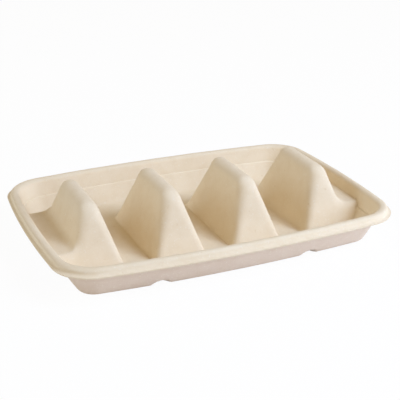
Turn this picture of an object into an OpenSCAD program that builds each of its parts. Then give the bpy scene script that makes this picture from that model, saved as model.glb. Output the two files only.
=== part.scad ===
// Moulded fibre taco tray: an open dish with a rolled rim, four hollow humps that part
// three taco channels, and a raised shelf at each end. It is one sheet, pressed in one piece.
// X runs across the tacos, Y along them, Z up, and the origin is the middle of the base.
// All lengths are in millimetres and all angles in degrees.

/* [Plan] */
// Length over the trimmed lip
tray_length = 220; // [204:1:240]
// Width over the trimmed lip
tray_width = 153; // [140:1:180]
// Radius of the bow in the two long sides
long_bow_radius = 925; // [500:5:2000]
// Radius of the bow in the two short sides
short_bow_radius = 610; // [400:5:2000]
// Corner radius of the lip
lip_corner_radius = 23.5; // [18:0.5:30]
// Corner radius at the crease of the wall
crease_corner_radius = 18.5; // [14:0.5:20]
// Corner radius at the foot of the wall
foot_corner_radius = 8.5; // [7:0.5:14]

/* [Sheet] */
// Thickness of the moulded sheet
sheet = 0.9; // [0.6:0.1:1.2]

/* [Rim] */
// Height of the lip's underside above the base
lip_height = 19.3; // [17.5:0.1:24]
// Width of the flat lip outside the bead
lip_width = 2; // [1:0.1:3]
// Radius of the hollow between lip and bead
lip_root_radius = 0.6; // [0.4:0.1:1]
// Rise of the bead's crest above the lip
bead_rise = 3.3; // [3:0.1:5]
// Width of the bead between its two flanks, at the crest
bead_width = 4.9; // [4.6:0.1:5.8]
// Radius of the bead's outer shoulder
bead_outer_radius = 2; // [1.5:0.1:2.4]
// Radius of the bead's inner shoulder
bead_inner_radius = 3; // [2:0.1:3.4]

/* [Wall] */
// Depth of the crease in the wall below the lip's underside
crease_depth = 6.4; // [4:0.1:9]
// Inset of the crease from the lip
crease_inset = 9.6; // [8.5:0.1:11]
// Radius of the crease
crease_radius = 1; // [0.5:0.1:4]
// Inset of the foot of the wall from the lip
foot_inset = 16.5; // [14:0.5:19]
// Radius of the fillet between wall and floor
foot_radius = 4; // [3:0.5:8]

/* [Humps] */
// Number of humps, one more than there are channels
hump_count = 4; // [3:1:4]
// Distance of an end hump's ridge from the lip; the others stand evenly between the two
end_ridge_inset = 33.95; // [31:0.05:38]
// Height of the ridges above the base
hump_height = 39.5; // [30:0.5:48]
// Width of a hump at the floor
hump_width = 33; // [28:0.5:36]
// Length of a hump at the floor
hump_length = 75.5; // [60:0.5:84]
// Length of the level ridge
ridge_length = 36; // [20:0.5:44]
// Radius of the ridge
ridge_radius = 6.5; // [4:0.5:8]
// Radius of the hips where they meet the floor
hip_radius = 3; // [2:0.5:5]
// Radius of the fillet between hump and floor
hump_foot_radius = 2.5; // [1.5:0.1:4]

/* [End shelves] */
// Height of the shelves above the base
shelf_height = 16; // [10:0.5:17.5]
// Radius of the cove between a shelf and its hump
cove_radius = 6.5; // [3:0.5:9]
// Radius of the shelf's front and back edges
shelf_edge_radius = 1.8; // [1.2:0.1:3]

/* [Relief arches] */
// Distance of the two arches in the front wall from the middle of the tray
arch_offset = 47.8; // [40:0.1:56]
// Width of an arch at the base
arch_width = 11.5; // [8:0.5:18]
// Height of an arch above the base
arch_height = 3.6; // [1.5:0.1:4]
// Length of an arch, from the foot of the wall inwards
arch_length = 9; // [6:0.5:14]

/* [Hidden] */

// Segments of the outline's arcs, for a quarter of the tray
short_side_steps = 2;
corner_steps = 7;
long_side_steps = 3;
// Largest turn and shortest chord of a fillet's segments
fillet_turn = 22.5;
fillet_chord = 0.5;
// Segments of a hump's foot fillet, of its hips and of its ridge
hump_foot_steps = 3;
hip_steps = 4;
ridge_steps = 5;
// Segments of the cove and of the shelf's edges
cove_steps = 6;
shelf_edge_steps = 4;
// Sides and rings of the domes that form the arches
dome_sides = 16;
dome_steps = 4;
// Last angle of the ridge's round, where its level crown begins
crown_angle = 86;
// Largest share of a hump's half width that its hips may round
hip_share = 0.96;
// Share of the hip's radius that the cove's edge has where it sinks into the hip
sunk_edge_share = 1.5;
// Set-in of a shelf from the faces of its hump, so that the two cross cleanly
shelf_set_in = 0.02;
// How far a form reaches below the base, so that the sheet is cut clean through
overlap = 1;

pulp_colour = [0.89, 0.84, 0.76];

half_length = tray_length / 2;
half_width = tray_width / 2;
floor_top = sheet;
lip_top = lip_height + sheet;
crest_height = lip_top + bead_rise;
crease_height = lip_height - crease_depth;
floor_inset = foot_inset + foot_radius;
end_hump_x = half_length - end_ridge_inset;
hump_pitch = 2 * end_hump_x / (hump_count - 1);

// Small vector helpers
function unit(v) = v / norm(v);
function left_of(v) = [-v[1], v[0]];
function turned(v, a) = [v[0] * cos(a) - v[1] * sin(a), v[0] * sin(a) + v[1] * cos(a)];
function turn_angle(u, w) = atan2(u[0] * w[1] - u[1] * w[0], u * w);
function heading(path, k) = unit(path[k + 1] - path[k]);

// A path moved by depth to its right-hand side, which is the underside of the sheet
function lowered(path, depth) = let (last = len(path) - 1) [
    for (k = [0 : last])
        let (
            before = left_of(heading(path, max(k - 1, 0))),
            after = left_of(heading(path, min(k, last - 1)))
        )
        path[k] - depth * (before + after) / (1 + before * after)
];

// The points of a fillet at one corner of a path
function fillet(corner, u, w, radius, steps) =
    let (
        a = turn_angle(u, w),
        start = corner - u * radius * tan(abs(a) / 2),
        centre = start + left_of(u) * radius * sign(a)
    )
    [for (j = [0 : steps]) centre + turned(start - centre, a * j / steps)];
function fillet_steps(u, w, radius) =
    let (a = abs(turn_angle(u, w)))
    ceil(min(a / fillet_turn, radius * a * PI / 180 / fillet_chord));

// The face of the sheet at a depth below its top face: hollow corners gain the depth in
// radius and crowned corners lose it
function section(path, radii, depth) = let (p = lowered(path, depth), last = len(path) - 1) [
    for (k = [0 : last])
        if (k == 0 || k == last) p[k]
        else
            let (
                u = heading(p, k - 1),
                w = heading(p, k),
                radius = radii[k] + depth * sign(turn_angle(u, w))
            )
            each fillet(p[k], u, w, radius, fillet_steps(u, w, radius))
];

// Corner radius of the plan at each inset from the lip: it shrinks down the wall
corner_radii = [
    [0, lip_corner_radius],
    [crease_inset, crease_corner_radius],
    [foot_inset, foot_corner_radius],
    [floor_inset, foot_corner_radius / 2]
];

// Plan of the tray at an inset from the lip: four bowed sides, joined by tangent corner arcs
function arc(centre, radius, from, to, steps) = [
    for (j = [0 : steps - 1])
        let (a = from + (to - from) * j / steps)
        centre + radius * [cos(a), sin(a)]
];
function outline(inset) =
    let (
        corner = lookup(inset, corner_radii),
        long_radius = long_bow_radius - inset,
        short_radius = short_bow_radius - inset,
        long_centre = [0, half_width - long_bow_radius],
        short_centre = [half_length - short_bow_radius, 0],
        apart = short_centre - long_centre,
        gap = norm(apart),
        along = (pow(long_radius - corner, 2) - pow(short_radius - corner, 2) + gap * gap) / (2 * gap),
        across = sqrt(pow(long_radius - corner, 2) - along * along),
        corner_centre = long_centre + along * unit(apart) - across * left_of(unit(apart)),
        to_corner = corner_centre - short_centre,
        from_corner = corner_centre - long_centre,
        start = atan2(to_corner[1], to_corner[0]),
        end = atan2(from_corner[1], from_corner[0]),
        quarter = concat(
            arc(short_centre, short_radius, 0, start, short_side_steps),
            arc(corner_centre, corner, start, end, corner_steps),
            arc(long_centre, long_radius, end, 90, long_side_steps),
            [[0, half_width - inset]]
        ),
        half = concat(quarter, [for (k = [len(quarter) - 2 : -1 : 0]) [-quarter[k][0], quarter[k][1]]])
    )
    concat(half, [for (k = [len(half) - 2 : -1 : 1]) [half[k][0], -half[k][1]]]);

// A solid through a row of rings, each a list of points that run anticlockwise seen from its end
module loft(rings) {
    count = len(rings[0]);
    last = len(rings) - 1;
    sides = [
        for (k = [0 : last - 1], j = [0 : count - 1])
            let (next = (j + 1) % count)
            [k * count + j, (k + 1) * count + j, (k + 1) * count + next, k * count + next]
    ];
    base = [for (j = [0 : count - 1]) j];
    top = [for (j = [count - 1 : -1 : 0]) last * count + j];
    polyhedron([for (ring = rings) each ring], concat([base], sides, [top]), convexity = 10);
}

// Dish: lip, bead, creased wall and floor, as insets and heights from the lip inwards
dish_path = [
    [0, lip_top],
    [lip_width, lip_top],
    [lip_width, crest_height],
    [lip_width + bead_width, crest_height],
    [crease_inset, crease_height],
    [foot_inset, floor_top],
    [floor_inset, floor_top]
];
dish_radii = [0, lip_root_radius, bead_outer_radius, bead_inner_radius, crease_radius, foot_radius, 0];

module dish(depth) {
    face = section(dish_path, dish_radii, depth);
    edge = depth > 0 ? -overlap : 0;
    lip = face[0][1];
    rings = concat([[edge, -overlap - depth], [edge, lip]], [for (k = [1 : len(face) - 1]) face[k]]);
    loft([for (r = rings) [for (p = outline(r[0])) [p[0], p[1], r[1]]]]);
}

// Humps: half widths and half lengths at a height, from a foot fillet, a drafted flank and a round ridge
ridge_centre = hump_height - ridge_radius * sin(crown_angle);
function draft(foot, flat) =
    let (run = foot - flat, rise = ridge_centre - floor_top)
    atan2(run, rise) - asin(ridge_radius / norm([run, rise]));
function flank(foot, flat, z, depth) =
    let (a = draft(foot, flat))
    foot - (z - floor_top) * tan(a) - depth / cos(a);
function flare(foot, flat, z, depth) =
    let (
        a = draft(foot, flat),
        r = hump_foot_radius + depth,
        centre_z = floor_top + hump_foot_radius,
        centre_x = flank(foot, flat, centre_z, depth) + r / cos(a),
        tangent_z = centre_z - r * sin(a)
    )
    z >= tangent_z ? 0
        : centre_x - sqrt(max(r * r - pow(centre_z - z, 2), 0)) - flank(foot, flat, z, depth);
function half_size(foot, flat, z, depth) =
    let (a = draft(foot, flat), r = ridge_radius - depth)
    z > ridge_centre + r * sin(a)
        ? flat + sqrt(max(r * r - pow(z - ridge_centre, 2), 0))
        : flank(foot, flat, z, depth) + flare(foot, flat, z, depth);
function half_wide(z, depth) = half_size(hump_width / 2, 0, z, depth);
function half_long(z, depth) = half_size(hump_length / 2, ridge_length / 2, z, depth);
function hip(z) =
    hip_radius + (ridge_radius - hip_radius) * (z - floor_top) / (ridge_centre - floor_top);

flank_draft = draft(hump_width / 2, 0);
function foot_levels(depth) = [
    for (j = [0 : hump_foot_steps])
        floor_top - depth
            + (hump_foot_radius + depth) * (1 - cos((90 - flank_draft) * j / hump_foot_steps))
];
function ridge_levels(depth) = [
    for (j = [0 : ridge_steps])
        ridge_centre
            + (ridge_radius - depth) * sin(flank_draft + (crown_angle - flank_draft) * j / ridge_steps)
];

function hump_ring(z, depth) =
    let (
        level = max(z, floor_top - depth),
        w = half_wide(level, depth),
        l = half_long(level, depth),
        spread = flare(hump_width / 2, 0, level, depth),
        r = min(hip(level) - depth + spread, hip_share * w)
    )
    [
        for (q = [0 : 3])
            let (
                sx = q == 0 || q == 3 ? 1 : -1,
                sy = q < 2 ? 1 : -1
            )
            for (j = [0 : hip_steps])
                let (a = 90 * q + 90 * j / hip_steps)
                [sx * (w - r) + r * cos(a), sy * (l - r) + r * sin(a), z]
    ];

module hump(depth) {
    levels = concat([-overlap - depth], foot_levels(depth), ridge_levels(depth));
    loft([for (z = levels) hump_ring(z, depth)]);
}

// End shelf: a section swept from inside an end hump, round the cove and out to the end wall.
// The slope is 90 on the level shelf, and falls to the draft of the flank up the cove.
cove_z = shelf_height + cove_radius;
cove_x = flank(hump_width / 2, 0, cove_z, 0) + (cove_radius - shelf_set_in) / cos(flank_draft);
shelf_end = end_ridge_inset - lip_width;

// Distance and height of a point below the cove's surface
function under_cove(slope, below) =
    [cove_x, cove_z] - (cove_radius + below) * [cos(slope), sin(slope)];
function shelf_half(z, depth) = half_long(z, depth) - shelf_set_in;

// One side of the section, from the base to the top of the shelf's rounded edge
function shelf_side(slope, depth) =
    let (
        top = under_cove(slope, depth),
        steepness = (90 - slope) / (90 - flank_draft),
        sunk_radius = sunk_edge_share * hip(top[1]),
        radius = shelf_edge_radius + (sunk_radius - shelf_edge_radius) * steepness - depth,
        edge = shelf_half(top[1], depth),
        lower = shelf_half(under_cove(slope, depth + radius)[1], depth),
        along_face = unit([edge - lower, radius]),
        rounded = fillet([edge, 0], along_face, [-1, 0], radius, shelf_edge_steps)
    )
    concat(
        [[top[0], shelf_half(floor_top - depth, depth), -overlap - depth]],
        [for (z = foot_levels(depth)) [top[0], shelf_half(z, depth), z]],
        [for (p = rounded) let (q = under_cove(slope, depth - p[1])) [q[0], p[0], q[1]]]
    );

function shelf_ring(side) = concat(
    side,
    [for (k = [len(side) - 1 : -1 : 0]) [side[k][0], -side[k][1], side[k][2]]]
);
function at_distance(side, x) = [for (p = side) [x, p[1], p[2]]];

module shelf(depth) {
    slopes = [for (j = [0 : cove_steps]) flank_draft + (90 - flank_draft) * j / cove_steps];
    cove = [for (slope = slopes) shelf_side(slope, depth)];
    sides = concat([at_distance(cove[0], 0)], cove, [at_distance(cove[cove_steps], shelf_end)]);
    translate([end_hump_x, 0, 0])
        loft([for (side = sides) shelf_ring(side)]);
}

// Relief arch: a small hollow through the foot of the front wall, with a round inner end
// A dome on the base with an elliptic section
module dome(depth) {
    half = arch_width / 2 + sheet - depth;
    rise = arch_height + sheet - depth;
    low = -overlap - depth;
    cap = [for (j = [0 : dome_steps]) let (a = 90 * j / dome_steps) [half * cos(a), rise * sin(a)]];
    rotate_extrude($fn = dome_sides) polygon(concat([[0, low], [half, low]], cap));
}

module arch(depth) {
    wall_foot = foot_inset - half_width;
    inner_end = wall_foot + arch_length - arch_width / 2;
    outer_end = wall_foot - foot_radius;
    hull() {
        translate([arch_offset, inner_end, 0]) dome(depth);
        translate([arch_offset, wall_foot, 0]) dome(depth);
    }
    hull() {
        translate([arch_offset, wall_foot, 0]) dome(depth);
        translate([arch_offset, outer_end, 0]) dome(depth);
    }
}

// The solid below one face of the sheet
module form(depth) {
    dish(depth);
    for (k = [0 : hump_count - 1])
        translate([k * hump_pitch - end_hump_x, 0, 0]) hump(depth);
    for (end = [0, 1])
        mirror([end, 0, 0]) {
            shelf(depth);
            arch(depth);
        }
}

module tray() {
    color(pulp_colour)
        difference() {
            form(0);
            form(sheet);
        }
}

tray();
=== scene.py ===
"""Moulded fibre taco tray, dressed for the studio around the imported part."""

import math

import bpy
import numpy as np
from mathutils import Matrix
from mathutils import Vector


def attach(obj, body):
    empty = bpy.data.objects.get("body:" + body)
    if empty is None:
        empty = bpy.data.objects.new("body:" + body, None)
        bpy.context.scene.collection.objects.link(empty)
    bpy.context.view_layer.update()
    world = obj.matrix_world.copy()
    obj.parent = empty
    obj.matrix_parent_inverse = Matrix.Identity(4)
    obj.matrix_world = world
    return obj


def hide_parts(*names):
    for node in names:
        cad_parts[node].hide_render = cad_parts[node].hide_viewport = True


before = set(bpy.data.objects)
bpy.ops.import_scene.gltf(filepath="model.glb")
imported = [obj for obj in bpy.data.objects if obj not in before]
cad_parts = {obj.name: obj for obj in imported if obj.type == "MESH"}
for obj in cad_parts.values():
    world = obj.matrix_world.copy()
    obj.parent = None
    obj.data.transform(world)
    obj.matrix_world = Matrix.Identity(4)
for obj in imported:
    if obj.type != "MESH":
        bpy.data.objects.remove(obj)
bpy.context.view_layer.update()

bl_info = {
    "name": "Moulded fibre taco tray",
    "version": (1, 0, 0),
    "blender": (4, 5, 0),
    "location": "3D View > Sidebar > Taco tray",
    "description": "Builds a pressed fibre tray that holds three tacos, with its studio stage",
    "category": "Object",
}

MM = 0.001
TRAY_NODE = "tray"
TRAY_BODY = "root"


# Sizes and colours
def length_value(name, description, millimetres):
    """A length that the user can change, stored in metres."""
    return bpy.props.FloatProperty(
        name=name, description=description, default=millimetres * MM, min=0.0, unit="LENGTH", precision=4
    )


def colour_value(name, description, colour):
    """A colour that the user can change."""
    return bpy.props.FloatVectorProperty(
        name=name, description=description, default=colour, subtype="COLOR", min=0.0, max=1.0, size=3
    )


class TraySizes(bpy.types.PropertyGroup):
    """Sizes of the pressed sheet."""

    length: length_value("Length", "Length over the trimmed lip", 220)
    width: length_value("Width", "Width over the trimmed lip", 153)
    long_bow_radius: length_value("Long side bow", "Radius of the bow in the two long sides", 925)
    short_bow_radius: length_value("Short side bow", "Radius of the bow in the two short sides", 610)
    lip_corner_radius: length_value("Lip corner", "Corner radius of the lip", 23.5)
    crease_corner_radius: length_value("Crease corner", "Corner radius at the crease of the wall", 18.5)
    foot_corner_radius: length_value("Foot corner", "Corner radius at the foot of the wall", 8.5)
    sheet: length_value("Sheet", "Thickness of the pressed sheet", 0.9)
    lip_height: length_value("Lip height", "Height of the lip's underside above the base", 19.3)
    lip_width: length_value("Lip width", "Width of the flat lip outside the bead", 2)
    lip_droop: length_value("Lip droop", "Drop of the lip from the bead to its trimmed edge", 0.6)
    lip_root_radius: length_value("Lip root", "Radius of the hollow between lip and bead", 1.5)
    bead_rise: length_value("Bead rise", "Rise of the bead's crest above the lip", 3.3)
    bead_width: length_value("Bead width", "Width of the bead at its crest", 4.9)
    bead_outer_radius: length_value("Bead outer shoulder", "Radius of the bead's outer shoulder", 2)
    bead_inner_radius: length_value("Bead inner shoulder", "Radius of the bead's inner shoulder", 3)
    crease_depth: length_value("Crease depth", "Depth of the wall's crease below the lip", 6.4)
    crease_inset: length_value("Crease inset", "Inset of the wall's crease from the lip", 9.6)
    crease_radius: length_value("Crease radius", "Radius of the wall's crease", 1)
    ledge_height: length_value("Ledge height", "Height of the fine ledge along the wall's crease", 0.6)
    ledge_swell: length_value("Ledge swell", "Swell of the top face below the fine ledge", 0.45)
    ledge_sink: length_value("Ledge sink", "Hollow of the top face above the fine ledge", 0.2)
    foot_inset: length_value("Foot inset", "Inset of the foot of the wall from the lip", 16.5)
    foot_radius: length_value("Foot radius", "Radius between wall and floor", 4)
    hump_count: bpy.props.IntProperty(
        name="Humps", description="Number of humps, one more than there are channels", default=4, min=2
    )
    end_ridge_inset: length_value("End ridge inset", "Distance of an end hump's ridge from the lip", 33.95)
    hump_height: length_value("Hump height", "Height of the ridges above the base", 39.5)
    hump_width: length_value("Hump width", "Width of a hump at the floor", 33)
    hump_length: length_value("Hump length", "Length of a hump at the floor", 75.5)
    ridge_length: length_value("Ridge length", "Length of the level ridge", 36)
    ridge_radius: length_value("Ridge radius", "Radius of the ridge", 6.5)
    ridge_front_radius: length_value("Ridge front", "Radius where a ridge turns down to its front face", 12)
    hip_radius: length_value("Hip radius", "Radius of the hips at the floor", 3)
    hump_foot_radius: length_value("Hump foot radius", "Radius between hump and floor", 2.5)
    shelf_height: length_value("Shelf height", "Height of the end shelves above the base", 16)
    cove_radius: length_value("Cove radius", "Radius between a shelf and its hump", 6.5)
    shelf_edge: length_value("Shelf edge", "Height over which a shelf's edges are rounded", 2)
    arch_offset: length_value("Arch offset", "Distance of the relief arches from the middle", 47.8)
    arch_width: length_value("Arch width", "Width of a relief arch at the base", 11)
    arch_height: length_value("Arch height", "Height of a relief arch above the base", 4.4)
    arch_length: length_value("Arch length", "Length of a relief arch inside the wall", 5.5)
    mesh_step: length_value("Mesh step", "Distance between the lines of the mesh", 1.2)
    unevenness: length_value("Unevenness", "Depth of the slight waves that drying leaves", 0.2)


class TrayColours(bpy.types.PropertyGroup):
    """Colours of the fibre and of the stage."""

    face: colour_value("Fibre, top face", "Colour of the smooth top face", (0.905, 0.778, 0.57))
    face_patch: colour_value("Patches, top face", "Colour of the top face's patches", (0.88, 0.745, 0.53))
    back: colour_value("Fibre, underside", "Colour of the rougher underside", (0.865, 0.72, 0.565))
    back_patch: colour_value("Patches, underside", "Colour of the underside's patches", (0.84, 0.69, 0.535))
    fleck_pale: colour_value("Pale flecks", "Colour of the pale fibres", (0.935, 0.84, 0.675))
    fleck_dark: colour_value("Dark flecks", "Colour of the dark fibres", (0.84, 0.70, 0.48))
    backdrop: colour_value("Backdrop", "Colour of the floor and the backdrop", (1.0, 1.0, 1.0))
    ambient: colour_value("Ambient light", "Colour of the light from all round", (1.0, 0.71, 0.335))


# Small helpers
def deselect_everything():
    """Leaves nothing selected, so that an operator acts on the new piece alone."""
    if bpy.context.mode != "OBJECT":
        bpy.ops.object.mode_set(mode="OBJECT")
    bpy.ops.object.select_all(action="DESELECT")


def points_of(piece):
    """The piece's vertices as an array of rows."""
    flat = np.empty(len(piece.data.vertices) * 3)
    piece.data.vertices.foreach_get("co", flat)
    return flat.reshape(-1, 3)


def place_points(piece, points):
    """Moves the piece's vertices to these rows."""
    piece.data.vertices.foreach_set("co", points.ravel())
    piece.data.update()


def apply_modifier(piece, modifier):
    """Applies one modifier to the piece."""
    bpy.context.view_layer.objects.active = piece
    bpy.ops.object.modifier_apply(modifier=modifier.name)


def smooth_max(a, b, reach):
    """The larger of two heights, with a hollow fillet where they meet."""
    overlap = np.maximum(reach - np.abs(a - b), 0.0) / reach
    return np.maximum(a, b) + overlap * overlap * reach / 4


def smooth_min(a, b, reach):
    """The smaller of two heights, with a rounded edge where they meet."""
    return -smooth_max(-a, -b, reach)


# Section of rim and wall
TURN_STEP = math.radians(14)
LEDGE_STEPS = 4
LEDGE_FADE_UP = 2 * MM
LEDGE_FADE_DOWN = 5 * MM


def unit(v):
    """The same direction, one unit long."""
    return v / np.linalg.norm(v)


def left_of(v):
    """The same length, a quarter turn to the left."""
    return np.array([-v[1], v[0]])


def rounded_path(corners, radii, step, turn_step):
    """A path past the corners, each rounded by its radius, in pieces no longer than a step."""
    corners = [np.array(c) for c in corners]
    bends = [corners[0]]
    for before, corner, after, radius in zip(corners, corners[1:], corners[2:], radii):
        into = unit(corner - before)
        out = unit(after - corner)
        turn = math.atan2(into[0] * out[1] - into[1] * out[0], into @ out)
        start = corner - into * radius * math.tan(abs(turn) / 2)
        centre = start + left_of(into) * math.copysign(radius, turn)
        pieces = max(2, math.ceil(abs(turn) / turn_step))
        for j in range(pieces + 1):
            angle = turn * j / pieces
            spoke = start - centre
            bends.append(centre + spoke * math.cos(angle) + left_of(spoke) * math.sin(angle))
    bends.append(corners[-1])
    path = [bends[0]]
    for bend in bends[1:]:
        pieces = max(1, math.ceil(np.linalg.norm(bend - path[-1]) / step))
        start = path[-1]
        for j in range(pieces):
            path.append(start + (bend - start) * (j + 1) / pieces)
    return np.array(path)


def crease_of(s):
    """Inset and height of the wall's crease."""
    return np.array([s.crease_inset, s.lip_height - s.crease_depth])


def eased(share):
    """A share from nothing to all that starts and ends gently."""
    share = min(max(share, 0.0), 1.0)
    return share * share * (3 - 2 * share)


def faded(distance, reach):
    """All up to the start of a distance, and gently less along its reach."""
    return (1.0 - min(max(distance / reach, 0.0), 1.0)) ** 2


def ledge_at(s, level):
    """Inward shift of the top face along the crease: sunk above the fine ledge, swollen below it."""
    below = crease_of(s)[1] - level
    across = eased(below / s.ledge_height)
    swollen = s.ledge_swell * faded(below - s.ledge_height, LEDGE_FADE_DOWN)
    sunk = s.ledge_sink * faded(-below, LEDGE_FADE_UP)
    return across * swollen - (1.0 - across) * sunk


def cut_finer(path, place, reach, step):
    """The same path, with its segments near a place cut into steps."""
    fine = [path[0]]
    for start, end in zip(path, path[1:]):
        near = np.linalg.norm((start + end) / 2 - place) < reach
        pieces = math.ceil(np.linalg.norm(end - start) / step) if near else 1
        fine.extend(start + (end - start) * (j + 1) / pieces for j in range(pieces))
    return np.array(fine)


def wall_section(s):
    """Insets and heights of the sheet's top face, from the floor out to the trimmed lip."""
    lip_top = s.lip_height + s.sheet
    crest = lip_top + s.bead_rise
    corners = [
        (0.0, lip_top - s.lip_droop),
        (s.lip_width, lip_top),
        (s.lip_width, crest),
        (s.lip_width + s.bead_width, crest),
        tuple(crease_of(s)),
        (s.foot_inset, s.sheet),
        (s.foot_inset + s.foot_radius, s.sheet),
    ]
    radii = (s.lip_root_radius, s.bead_outer_radius, s.bead_inner_radius, s.crease_radius, s.foot_radius)
    path = rounded_path(corners, radii, s.mesh_step, TURN_STEP)
    ledge = crease_of(s) - np.array([0.0, s.ledge_height / 2])
    path = cut_finer(path, ledge, s.ledge_height, s.ledge_height / LEDGE_STEPS)
    return path[::-1]


# Plan of the tray
class Outline:
    """One quarter of the tray's plan at an inset from the lip: two bowed sides and a corner arc."""

    FLOOR_CORNER_SHARE = 0.5

    def __init__(self, s, inset):
        insets = (0.0, s.crease_inset, s.foot_inset, s.foot_inset + s.foot_radius)
        floor_corner = self.FLOOR_CORNER_SHARE * s.foot_corner_radius
        radii = (s.lip_corner_radius, s.crease_corner_radius, s.foot_corner_radius, floor_corner)
        self.corner = np.interp(inset, insets, radii)
        self.long_radius = s.long_bow_radius - inset
        self.short_radius = s.short_bow_radius - inset
        self.long_centre = np.array([0.0, s.width / 2 - s.long_bow_radius])
        self.short_centre = np.array([s.length / 2 - s.short_bow_radius, 0.0])
        # The corner arc touches both bows: its centre is where two circles round theirs cross
        apart = self.short_centre - self.long_centre
        gap = np.linalg.norm(apart)
        to_long = self.long_radius - self.corner
        to_short = self.short_radius - self.corner
        along = (to_long**2 - to_short**2 + gap**2) / (2 * gap)
        across = math.sqrt(to_long**2 - along**2)
        axis = apart / gap
        self.centre = self.long_centre + along * axis - across * left_of(axis)
        start = math.atan2(*(self.centre - self.short_centre)[::-1])
        end = math.atan2(*(self.centre - self.long_centre)[::-1])
        self.side_end = self.centre[1] + self.corner * math.sin(start)
        self.front_end = self.centre[0] + self.corner * math.cos(end)
        middle = (start + end) / 2
        self.tip = self.centre + self.corner * np.array([math.cos(middle), math.sin(middle)])

    def side(self, y):
        """Half length of the plan at a distance from its long axis."""
        bow = self.short_centre[0] + np.sqrt(self.short_radius**2 - y**2)
        rest = np.maximum(self.corner**2 - (y - self.centre[1]) ** 2, 0.0)
        return np.where(y <= self.side_end, bow, self.centre[0] + np.sqrt(rest))

    def front(self, x):
        """Half width of the plan at a distance from its short axis."""
        bow = self.long_centre[1] + np.sqrt(self.long_radius**2 - x**2)
        rest = np.maximum(self.corner**2 - (x - self.centre[0]) ** 2, 0.0)
        return np.where(x <= self.front_end, bow, self.centre[1] + np.sqrt(rest))


def stretched(values, keep, old_end, new_end):
    """Distances from the middle, kept up to a limit and stretched beyond it to a new end."""
    share = np.maximum(np.abs(values) - keep, 0.0) / (old_end - keep)
    return np.where(
        np.abs(values) <= keep, values, np.sign(values) * (keep + share * (new_end - keep))
    )


# Heights of the pressed forms
WALL_FILLET = 1.0 * MM
ARCH_FILLET = 0.2 * MM


class Hump:
    """Heights of one hump over the plan, from its levels: foot fillet, drafted faces, round ridge."""

    HALVINGS = 34
    HIP_SHARE = 0.96

    def __init__(self, s):
        self.s = s
        self.rise = s.hump_height - s.ridge_radius - s.sheet
        self.width_draft = self.draft(s.hump_width / 2, 0.0)
        self.length_draft = self.draft(s.hump_length / 2, s.ridge_length / 2)
        shorter = (s.ridge_front_radius - s.ridge_radius) * math.tan(math.pi / 4 - self.length_draft / 2)
        self.front_flat = s.ridge_length / 2 - shorter

    def draft(self, foot, flat):
        """Angle of a face that rises from its foot to touch the ridge's round."""
        run = foot - flat
        return math.atan2(run, self.rise) - math.asin(self.s.ridge_radius / math.hypot(run, self.rise))

    def face(self, foot, draft, z):
        """Half size of a plain drafted face at a height."""
        return foot - (z - self.s.sheet) * math.tan(draft)

    def flare(self, foot, draft, z):
        """Extra reach of the foot fillet at a height."""
        r = self.s.hump_foot_radius
        centre_z = self.s.sheet + r
        centre = self.face(foot, draft, centre_z) + r / math.cos(draft)
        below = np.sqrt(np.maximum(r * r - (centre_z - z) ** 2, 0.0))
        reach = centre - below - self.face(foot, draft, z)
        return np.where(z >= centre_z - r * math.sin(draft), 0.0, reach)

    def half_size(self, foot, flat, draft, radius, z):
        """Half size at a height: a drafted face with its fillet, and the ridge's round above it."""
        centre = self.s.hump_height - radius
        crown = flat + np.sqrt(np.maximum(radius**2 - (z - centre) ** 2, 0.0))
        side = self.face(foot, draft, z) + self.flare(foot, draft, z)
        return np.where(z > centre + radius * math.sin(draft), crown, side)

    def hip(self, z):
        """Radius of the hips at a height."""
        s = self.s
        return s.hip_radius + (s.ridge_radius - s.hip_radius) * (z - s.sheet) / self.rise

    def covers(self, x, y, z):
        """Whether the hump still reaches a point of the plan at a height."""
        s = self.s
        half_width = self.half_size(s.hump_width / 2, 0.0, self.width_draft, s.ridge_radius, z)
        foot = s.hump_length / 2
        back = self.half_size(foot, s.ridge_length / 2, self.length_draft, s.ridge_radius, z)
        front = self.half_size(foot, self.front_flat, self.length_draft, s.ridge_front_radius, z)
        half_length = np.where(y < 0.0, front, back)
        spread = self.flare(s.hump_width / 2, self.width_draft, z)
        radius = np.minimum(self.hip(z) + spread, self.HIP_SHARE * half_width)
        past_x = np.abs(x) - (half_width - radius)
        past_y = np.abs(y) - (half_length - radius)
        corner = np.hypot(np.maximum(past_x, 0.0), np.maximum(past_y, 0.0))
        return corner + np.minimum(np.maximum(past_x, past_y), 0.0) <= radius

    def height(self, x, y):
        """Height over points of the plan, found by halving."""
        low = np.full_like(x, self.s.sheet)
        high = np.full_like(x, self.s.hump_height)
        for _ in range(self.HALVINGS):
            middle = (low + high) / 2
            inside = self.covers(x, y, middle)
            low = np.where(inside, middle, low)
            high = np.where(inside, high, middle)
        return low


class EndShelf:
    """Heights of the level shelf at each end, with a cove up to its hump."""

    SUNK_EDGE = 9 * MM

    def __init__(self, s, hump):
        self.s = s
        self.hump = hump
        draft = hump.width_draft
        self.cove_z = s.shelf_height + s.cove_radius
        self.cove_x = hump.face(s.hump_width / 2, draft, self.cove_z) + s.cove_radius / math.cos(draft)
        self.meet_x = self.cove_x - s.cove_radius * math.cos(draft)

    def height(self, x, y):
        """Height at distances outwards from the hump's ridge and along it."""
        s = self.s
        along = np.maximum(x, self.meet_x)
        sunk = np.clip(self.cove_x - along, 0.0, s.cove_radius)
        top = self.cove_z - np.sqrt(s.cove_radius**2 - sunk**2)
        end = s.sheet + (s.hump_length / 2 - np.abs(y)) / math.tan(self.hump.length_draft)
        steep = np.clip((self.cove_x - along) / (self.cove_x - self.meet_x), 0.0, 1.0) ** 2
        edge = s.shelf_edge + (self.SUNK_EDGE - s.shelf_edge) * steep
        return np.where(x > 0.0, smooth_min(top, end, edge), s.sheet)


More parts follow.
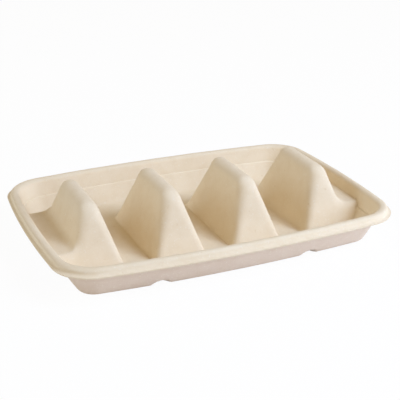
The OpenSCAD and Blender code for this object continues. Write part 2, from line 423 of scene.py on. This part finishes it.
def arch_height_at(s, x, y):
    """Heights of the two relief arches, which run out through the foot of the front wall."""
    inner_end = s.foot_inset - s.width / 2 + s.arch_length - s.arch_width / 2
    away = np.hypot(np.abs(x) - s.arch_offset, np.maximum(y - inner_end, 0.0))
    share = away / (s.arch_width / 2 + s.sheet)
    cap = (s.arch_height + s.sheet) * np.sqrt(np.maximum(1.0 - share**2, 0.0))
    return np.where(y < 0.0, cap, 0.0)


def pressed_height(s, x, y, dish):
    """Height of the sheet's top face over the plan, above the plain dish."""
    hump = Hump(s)
    shelf = EndShelf(s, hump)
    end_ridge = s.length / 2 - s.end_ridge_inset
    pitch = 2 * end_ridge / (s.hump_count - 1)
    nearest = np.clip(np.round((x + end_ridge) / pitch), 0, s.hump_count - 1)
    from_ridge = x - (nearest * pitch - end_ridge)
    z = smooth_max(dish, shelf.height(np.abs(x) - end_ridge, y), WALL_FILLET)
    z = smooth_max(z, arch_height_at(s, x, y), ARCH_FILLET)
    return np.maximum(z, hump.height(from_ridge, y))


# The tray
GRID_SIZE = 2.0
FINER_REACH = 2 * MM
WAVE_SIZE = 14 * MM
WAVE_DETAIL = 2
WAVE_RISE = 4 * MM
SMOOTH_ANGLE = math.radians(50)


def even_lines(end, step):
    """Line positions from one end to the other, evenly spaced."""
    count = 2 * math.ceil(end / step)
    return np.linspace(-end, end, count + 1)


def finer_near(lines, places):
    """The same lines, with one more in each gap near one of the places."""
    middles = (lines[:-1] + lines[1:]) / 2
    apart = np.abs(middles[:, None] - np.array(places)[None, :])
    return np.sort(np.append(lines, middles[apart.min(axis=1) < FINER_REACH]))


def lay_floor(lines_x, lines_y):
    """Adds a flat grid whose lines are those of the floor."""
    deselect_everything()
    columns = len(lines_x) - 1
    rows = len(lines_y) - 1
    bpy.ops.mesh.primitive_grid_add(
        x_subdivisions=columns, y_subdivisions=rows, size=GRID_SIZE, location=(0, 0, 0)
    )
    piece = bpy.context.active_object
    points = points_of(piece)
    share = points / GRID_SIZE + 0.5
    points[:, 0] = lines_x[np.rint(share[:, 0] * columns).astype(int)]
    points[:, 1] = lines_y[np.rint(share[:, 1] * rows).astype(int)]
    place_points(piece, points)
    return piece


def extrude_border(piece, times):
    """Extrudes the open border in place, once for each ring of the wall and the rim."""
    bpy.ops.object.mode_set(mode="EDIT")
    bpy.ops.mesh.select_mode(type="EDGE")
    bpy.ops.mesh.select_all(action="DESELECT")
    bpy.ops.mesh.select_non_manifold()
    for _ in range(times):
        bpy.ops.mesh.extrude_edges_move()
    bpy.ops.object.mode_set(mode="OBJECT")


def on_ring(s, inset, plan_x, plan_y, ends):
    """Places of the grid's points, stretched to the plan at an inset."""
    keep_x = s.length / 2 - s.end_ridge_inset
    keep_y = s.hump_length / 2 + s.hump_foot_radius
    plan = Outline(s, inset)
    x = stretched(plan_x, keep_x, ends[0], plan.tip[0])
    y = stretched(plan_y, keep_y, ends[1], plan.tip[1])
    share_x = np.maximum(np.abs(x) - keep_x, 0.0) / (plan.tip[0] - keep_x)
    share_y = np.maximum(np.abs(y) - keep_y, 0.0) / (plan.tip[1] - keep_y)
    out_x = plan.side(np.abs(y)) - plan.tip[0]
    out_y = plan.front(np.abs(x)) - plan.tip[1]
    return np.column_stack((x + np.sign(x) * share_x * out_x, y + np.sign(y) * share_y * out_y))


def shape_tray(piece, s, section, floor_count, lines_x, lines_y):
    """Moves the flat grid and its rings to the pressed shape, and gives the fine ledge's shifts."""
    points = points_of(piece)
    shift = np.zeros_like(points)
    plan_x = points[:, 0].copy()
    plan_y = points[:, 1].copy()
    ring = np.zeros(len(points), dtype=int)
    border = 2 * (len(lines_x) + len(lines_y)) - 4
    ring[floor_count:] = 1 + np.arange(len(points) - floor_count) // border
    ends = (lines_x[-1], lines_y[-1])
    for k, place in enumerate(section):
        here = ring == k
        points[here, :2] = on_ring(s, place[0], plan_x[here], plan_y[here], ends)
        points[here, 2] = place[1]
        shifted = on_ring(s, place[0] + ledge_at(s, place[1]), plan_x[here], plan_y[here], ends)
        shift[here, :2] = shifted - points[here, :2]
    height = pressed_height(s, points[:, 0], points[:, 1], points[:, 2])
    # The ledge ends where a hump, a shelf or an arch stands before the wall
    shift *= np.clip(1.0 - (height - points[:, 2]) / s.ledge_swell, 0.0, 1.0)[:, None]
    points[:, 2] = height
    place_points(piece, points)
    return shift


def press_ledge(piece, shift):
    """Presses the fine ledge along the wall's crease into the top face alone."""
    points = points_of(piece)
    points[: len(shift)] += shift
    place_points(piece, points)


def face_upwards(piece):
    """Makes the open sheet's faces agree, with the floor facing up."""
    bpy.ops.object.mode_set(mode="EDIT")
    bpy.ops.mesh.select_mode(type="VERT")
    bpy.ops.mesh.select_all(action="SELECT")
    bpy.ops.mesh.normals_make_consistent(inside=False)
    bpy.ops.object.mode_set(mode="OBJECT")
    middle = min(piece.data.polygons, key=lambda face: face.center.length)
    if middle.normal.z < 0:
        bpy.ops.object.mode_set(mode="EDIT")
        bpy.ops.mesh.flip_normals()
        bpy.ops.object.mode_set(mode="OBJECT")


def roughen(piece, s):
    """Lets the sheet sink in slight waves, except where it stands on the table."""
    group = piece.vertex_groups.new(name="free_sheet")
    points = points_of(piece)
    waves_start = 2 * s.sheet
    weights = np.clip((points[:, 2] - waves_start) / WAVE_RISE, 0.0, 1.0)
    for index, weight in enumerate(weights.tolist()):
        if weight > 0.0:
            group.add([index], weight, "REPLACE")
    clouds = bpy.data.textures.new("drying_waves", type="CLOUDS")
    clouds.noise_scale = WAVE_SIZE
    clouds.noise_depth = WAVE_DETAIL
    waves = piece.modifiers.new("drying_waves", "DISPLACE")
    waves.texture = clouds
    waves.texture_coords = "LOCAL"
    waves.vertex_group = group.name
    waves.mid_level = 1.0
    waves.strength = s.unevenness
    apply_modifier(piece, waves)
    piece.vertex_groups.clear()
    bpy.data.textures.remove(clouds)


def thicken(piece, s):
    """Gives the sheet its thickness, downwards from its top face."""
    wall = piece.modifiers.new("sheet", "SOLIDIFY")
    wall.thickness = s.sheet
    wall.offset = -1.0
    wall.use_even_offset = True
    wall.use_quality_normals = True
    wall.material_offset = 1
    wall.material_offset_rim = 0
    apply_modifier(piece, wall)
    deselect_everything()
    piece.select_set(True)
    bpy.context.view_layer.objects.active = piece
    bpy.ops.object.shade_smooth_by_angle(angle=SMOOTH_ANGLE)


class BuildTray(bpy.types.Operator):
    """Press the tray from one sheet: floor, wall, rolled rim, humps, end shelves and arches"""

    bl_idname = "taco_tray.build_tray"
    bl_label = "Build the tray"

    def execute(self, context):
        s = context.scene.tray_sizes
        section = wall_section(s)
        floor_plan = Outline(s, section[0][0])
        arch_sides = [
            side * s.arch_offset + edge * s.arch_width / 2 for side in (-1, 1) for edge in (-1, 1)
        ]
        arch_end = s.foot_inset + s.arch_length - s.width / 2
        lines_x = finer_near(even_lines(floor_plan.tip[0], s.mesh_step), arch_sides)
        lines_y = finer_near(even_lines(floor_plan.tip[1], s.mesh_step), [arch_end])
        piece = lay_floor(lines_x, lines_y)
        piece.name = "pressed_tray"
        floor_count = len(piece.data.vertices)
        extrude_border(piece, len(section) - 1)
        shift = shape_tray(piece, s, section, floor_count, lines_x, lines_y)
        face_upwards(piece)
        roughen(piece, s)
        colours = context.scene.tray_colours
        face = fibre_material(
            "fibre_top_face", colours.face, colours.face_patch, colours, FACE_GRAIN_SCALE, FACE_GRAIN_DEPTH
        )
        back = fibre_material(
            "fibre_underside", colours.back, colours.back_patch, colours, BACK_GRAIN_SCALE, BACK_GRAIN_DEPTH
        )
        piece.data.materials.append(face)
        piece.data.materials.append(back)
        thicken(piece, s)
        press_ledge(piece, shift)
        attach(piece, TRAY_BODY)
        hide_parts(TRAY_NODE)
        return {"FINISHED"}


# Material
FACE_GRAIN_SCALE = 1500.0
FACE_GRAIN_DEPTH = 0.12 * MM
BACK_GRAIN_SCALE = 1100.0
BACK_GRAIN_DEPTH = 0.2 * MM
GRAIN_DETAIL = 4.0
GRAIN_ROUGHNESS = 0.65
GRAIN_STRENGTH = 0.5
SMOOTHEST = 0.78
ROUGHEST = 0.95
SHINE = 0.25
FIBRE_MASKS = {
    "Patches": {"scale": 130.0, "detail": 4.0, "roughness": 0.65, "low": 0.38, "high": 0.70},
    "Pale Flecks": {"scale": 900.0, "detail": 3.0, "roughness": 0.6, "low": 0.58, "high": 0.74},
    "Dark Flecks": {"scale": 420.0, "detail": 2.0, "roughness": 0.5, "low": 0.66, "high": 0.80},
}


def add_node(tree, kind, **inputs):
    """Adds a node and sets the named inputs that stay the same."""
    node = tree.nodes.new(kind)
    for name, value in inputs.items():
        node.inputs[name.replace("_", " ")].default_value = value
    return node


def opaque(colour):
    """The colour with full alpha."""
    return (colour[0], colour[1], colour[2], 1.0)


def noise(tree, place, scale, detail, roughness):
    """Adds a noise that stays in its place on the piece."""
    node = add_node(tree, "ShaderNodeTexNoise", Scale=scale, Detail=detail, Roughness=roughness)
    tree.links.new(place.outputs["Object"], node.inputs["Vector"])
    return node


def ramp(tree, value, low, high):
    """A mask that goes from nothing at one value to full at another."""
    node = add_node(tree, "ShaderNodeMapRange", From_Min=low, From_Max=high)
    node.interpolation_type = "SMOOTHSTEP"
    tree.links.new(value, node.inputs["Value"])
    return node.outputs["Result"]


def fibre_mask(tree, place, scale, detail, roughness, low, high):
    """A mask that is full where its noise is strong."""
    speckle = noise(tree, place, scale, detail, roughness)
    return ramp(tree, speckle.outputs["Fac"], low, high)


def mixed(tree, mask, first, second):
    """A colour mixed by a mask; each colour is a fixed value or comes from a node."""
    node = tree.nodes.new("ShaderNodeMix")
    node.data_type = "RGBA"
    tree.links.new(mask, node.inputs["Factor"])
    for socket, colour in ((node.inputs["A"], first), (node.inputs["B"], second)):
        if isinstance(colour, bpy.types.NodeSocket):
            tree.links.new(colour, socket)
        else:
            socket.default_value = opaque(colour)
    return node.outputs["Result"]


def fibre_grain_group():
    """Masks of the patches and flecks in the fibre, and the height of its grain."""
    tree = bpy.data.node_groups.new("fibre_grain", "ShaderNodeTree")
    tree.interface.new_socket("Grain Scale", in_out="INPUT", socket_type="NodeSocketFloat")
    for name in (*FIBRE_MASKS, "Grain"):
        tree.interface.new_socket(name, in_out="OUTPUT", socket_type="NodeSocketFloat")
    given = tree.nodes.new("NodeGroupInput")
    result = tree.nodes.new("NodeGroupOutput")
    place = tree.nodes.new("ShaderNodeTexCoord")
    for name, settings in FIBRE_MASKS.items():
        tree.links.new(fibre_mask(tree, place, **settings), result.inputs[name])
    grain = noise(tree, place, FACE_GRAIN_SCALE, GRAIN_DETAIL, GRAIN_ROUGHNESS)
    tree.links.new(given.outputs["Grain Scale"], grain.inputs["Scale"])
    tree.links.new(grain.outputs["Fac"], result.inputs["Grain"])
    return tree


def fibre_material(name, colour, patch_colour, colours, grain_scale, grain_depth):
    """Pressed plant fibre: warm and faintly patchy, with fine flecks and a dull grain."""
    material = bpy.data.materials.new(name)
    material.use_nodes = True
    tree = material.node_tree
    shader = tree.nodes["Principled BSDF"]
    fibre = tree.nodes.new("ShaderNodeGroup")
    fibre.node_tree = bpy.data.node_groups.get("fibre_grain") or fibre_grain_group()
    fibre.inputs["Grain Scale"].default_value = grain_scale
    tint = mixed(tree, fibre.outputs["Patches"], colour, patch_colour)
    tint = mixed(tree, fibre.outputs["Pale Flecks"], tint, colours.fleck_pale)
    tint = mixed(tree, fibre.outputs["Dark Flecks"], tint, colours.fleck_dark)
    tree.links.new(tint, shader.inputs["Base Color"])
    dull = add_node(tree, "ShaderNodeMapRange", To_Min=SMOOTHEST, To_Max=ROUGHEST)
    tree.links.new(fibre.outputs["Grain"], dull.inputs["Value"])
    tree.links.new(dull.outputs["Result"], shader.inputs["Roughness"])
    bump = add_node(tree, "ShaderNodeBump", Strength=GRAIN_STRENGTH, Distance=grain_depth)
    tree.links.new(fibre.outputs["Grain"], bump.inputs["Height"])
    tree.links.new(bump.outputs["Normal"], shader.inputs["Normal"])
    shader.inputs["Specular IOR Level"].default_value = SHINE
    return material


# Stage
CAMERA_AIM = Vector((0.0, 0.0, 19.0)) * MM
CAMERA_AZIMUTH = math.radians(-24.20)
CAMERA_ELEVATION = math.radians(23.39)
CAMERA_ROLL = math.radians(0.465)
CAMERA_DISTANCE = 553.6 * MM
CAMERA_LENS = 78.93
CAMERA_SENSOR = 36.0
CAMERA_SHIFT = (0.0100, 0.0063)
CAMERA_NEAR = 10 * MM
KEY_LAMP = {
    "azimuth": math.radians(44.0),
    "elevation": math.radians(37.0),
    "distance": 1.2,
    "size": (0.5, 1.2),
    "power": 17.4,
    "colour": (0.59, 0.725, 1.0),
}
FILL_LAMP = {
    "azimuth": math.radians(-102.0),
    "elevation": math.radians(24.0),
    "distance": 1.2,
    "size": (0.8, 0.8),
    "power": 5.0,
    "colour": (0.68, 0.82, 1.0),
}
AMBIENT_STRENGTH = 0.295
FLOOR_SIZE = 6.0
FLOOR_GLOW = 0.96


def direction(azimuth, elevation):
    """The direction from the tray towards a place round it."""
    level = math.cos(elevation)
    return Vector((math.sin(azimuth) * level, -math.cos(azimuth) * level, math.sin(elevation)))


def facing(back, roll):
    """Turns a camera or lamp that looks against the given direction."""
    right = (-back).cross(Vector((0, 0, 1))).normalized()
    up = right.cross(-back)
    turned_right = right * math.cos(roll) + up * math.sin(roll)
    turned_up = up * math.cos(roll) - right * math.sin(roll)
    return Matrix((turned_right, turned_up, back)).transposed()


def place_camera():
    """Adds the camera at the photograph's viewing angle."""
    back = direction(CAMERA_AZIMUTH, CAMERA_ELEVATION)
    data = bpy.data.cameras.new("photo_camera")
    data.lens = CAMERA_LENS
    data.sensor_width = CAMERA_SENSOR
    data.sensor_fit = "HORIZONTAL"
    data.shift_x = CAMERA_SHIFT[0]
    data.shift_y = CAMERA_SHIFT[1]
    data.clip_start = CAMERA_NEAR
    camera = bpy.data.objects.new("photo_camera", data)
    turn = facing(back, CAMERA_ROLL).to_4x4()
    camera.matrix_world = Matrix.Translation(CAMERA_AIM + back * CAMERA_DISTANCE) @ turn
    bpy.context.scene.collection.objects.link(camera)
    bpy.context.scene.camera = camera


def place_lamp(name, azimuth, elevation, distance, size, power, colour):
    """Adds a soft lamp that faces the tray."""
    back = direction(azimuth, elevation)
    data = bpy.data.lights.new(name, "AREA")
    data.shape = "ELLIPSE"
    data.size = size[0]
    data.size_y = size[1]
    data.energy = power
    data.color = colour
    lamp = bpy.data.objects.new(name, data)
    lamp.matrix_world = Matrix.Translation(CAMERA_AIM + back * distance) @ facing(back, 0.0).to_4x4()
    bpy.context.scene.collection.objects.link(lamp)


def shows_backdrop(tree):
    """A mask of the rays that show the backdrop: those of the camera, of gloss and of glass."""
    path = tree.nodes.new("ShaderNodeLightPath")
    mask = path.outputs["Is Camera Ray"]
    for ray in ("Is Glossy Ray", "Is Transmission Ray"):
        either = add_node(tree, "ShaderNodeMath")
        either.operation = "MAXIMUM"
        tree.links.new(mask, either.inputs[0])
        tree.links.new(path.outputs[ray], either.inputs[1])
        mask = either.outputs["Value"]
    return mask


def backdrop_world(colours):
    """A world that shows the backdrop's colour and lights the tray from all round."""
    world = bpy.data.worlds.new("studio")
    world.use_nodes = True
    tree = world.node_tree
    tree.nodes.clear()
    shown = add_node(tree, "ShaderNodeBackground", Color=opaque(colours.backdrop), Strength=1.0)
    lit = add_node(
        tree, "ShaderNodeBackground", Color=opaque(colours.ambient), Strength=AMBIENT_STRENGTH
    )
    mix = tree.nodes.new("ShaderNodeMixShader")
    output = tree.nodes.new("ShaderNodeOutputWorld")
    tree.links.new(shows_backdrop(tree), mix.inputs["Fac"])
    tree.links.new(lit.outputs["Background"], mix.inputs[1])
    tree.links.new(shown.outputs["Background"], mix.inputs[2])
    tree.links.new(mix.outputs["Shader"], output.inputs["Surface"])
    bpy.context.scene.world = world


def floor_material(colours):
    """A pale floor that shows as the backdrop does, with the tray's soft shadow on it."""
    material = bpy.data.materials.new("pale_floor")
    material.use_nodes = True
    tree = material.node_tree
    tree.nodes.clear()
    paint = add_node(tree, "ShaderNodeBsdfDiffuse", Color=opaque(colours.backdrop))
    glow = add_node(tree, "ShaderNodeEmission", Color=opaque(colours.backdrop), Strength=1.0)
    share = add_node(tree, "ShaderNodeMath")
    share.operation = "MULTIPLY"
    share.inputs[1].default_value = FLOOR_GLOW
    mix = tree.nodes.new("ShaderNodeMixShader")
    output = tree.nodes.new("ShaderNodeOutputMaterial")
    tree.links.new(shows_backdrop(tree), share.inputs[0])
    tree.links.new(share.outputs["Value"], mix.inputs["Fac"])
    tree.links.new(paint.outputs["BSDF"], mix.inputs[1])
    tree.links.new(glow.outputs["Emission"], mix.inputs[2])
    tree.links.new(mix.outputs["Shader"], output.inputs["Surface"])
    return material


class BuildStage(bpy.types.Operator):
    """Set up the pale floor, the soft studio light and the camera"""

    bl_idname = "taco_tray.build_stage"
    bl_label = "Build the stage"

    def execute(self, context):
        colours = context.scene.tray_colours
        deselect_everything()
        bpy.ops.mesh.primitive_plane_add(size=FLOOR_SIZE, location=(0, 0, 0))
        floor = context.active_object
        floor.name = "floor"
        floor.data.materials.append(floor_material(colours))
        backdrop_world(colours)
        place_lamp("key_lamp", **KEY_LAMP)
        place_lamp("fill_lamp", **FILL_LAMP)
        place_camera()
        context.scene.view_settings.view_transform = "Standard"
        return {"FINISHED"}


# Sidebar
class TrayPanel(bpy.types.Panel):
    """Sizes, colours and steps of the taco tray"""

    bl_idname = "VIEW3D_PT_taco_tray"
    bl_label = "Taco tray"
    bl_space_type = "VIEW_3D"
    bl_region_type = "UI"
    bl_category = "Taco tray"

    def draw(self, context):
        layout = self.layout
        for group in (context.scene.tray_sizes, context.scene.tray_colours):
            for name in group.__annotations__:
                layout.prop(group, name)
        layout.operator(BuildTray.bl_idname)
        layout.operator(BuildStage.bl_idname)


CLASSES = (TraySizes, TrayColours, BuildTray, BuildStage, TrayPanel)


def register():
    """Makes the classes and their values known to Blender."""
    for kind in CLASSES:
        bpy.utils.register_class(kind)
    bpy.types.Scene.tray_sizes = bpy.props.PointerProperty(type=TraySizes)
    bpy.types.Scene.tray_colours = bpy.props.PointerProperty(type=TrayColours)


def unregister():
    """Takes the values and the classes away again."""
    del bpy.types.Scene.tray_colours
    del bpy.types.Scene.tray_sizes
    for kind in reversed(CLASSES):
        bpy.utils.unregister_class(kind)


def main():
    """Builds the tray and its stage."""
    register()
    bpy.ops.taco_tray.build_tray()
    bpy.ops.taco_tray.build_stage()


if __name__ == "__main__":
    main()
